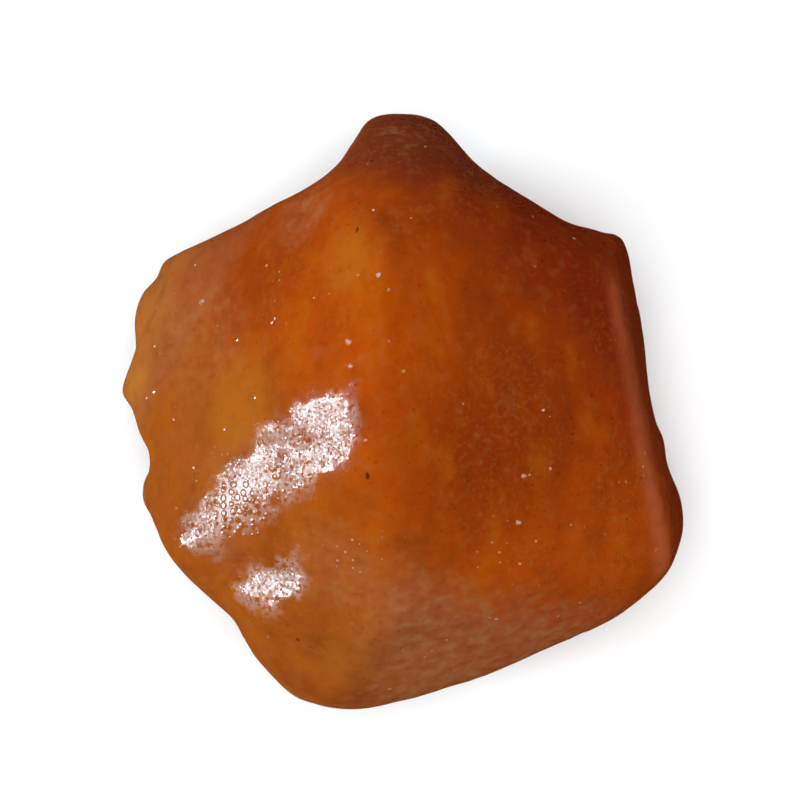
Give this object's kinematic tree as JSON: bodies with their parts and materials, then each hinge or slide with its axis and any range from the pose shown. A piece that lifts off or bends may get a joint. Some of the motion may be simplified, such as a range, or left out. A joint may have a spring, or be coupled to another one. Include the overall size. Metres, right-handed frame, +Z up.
{
  "type": "raw amber piece",
  "caption": "Worn lump of raw honey-brown amber with a blunt peak, a rounded nose at one end and a broken underside with one flat to rest on.",
  "frame": {"origin": "middle of the outline's box, on the surface that the piece rests on", "axes": "+Z up; +Y towards the rounded nose, the longest way; +X towards the straight worn side"},
  "size_m": [0.045, 0.047, 0.027],
  "materials": {
    "amber": "wet-looking, clouded see-through resin, orange where thin and dark red-brown where thick"
  },
  "bodies": {
    "root": {"amber_piece": "amber"}
  },
  "joints": []
}
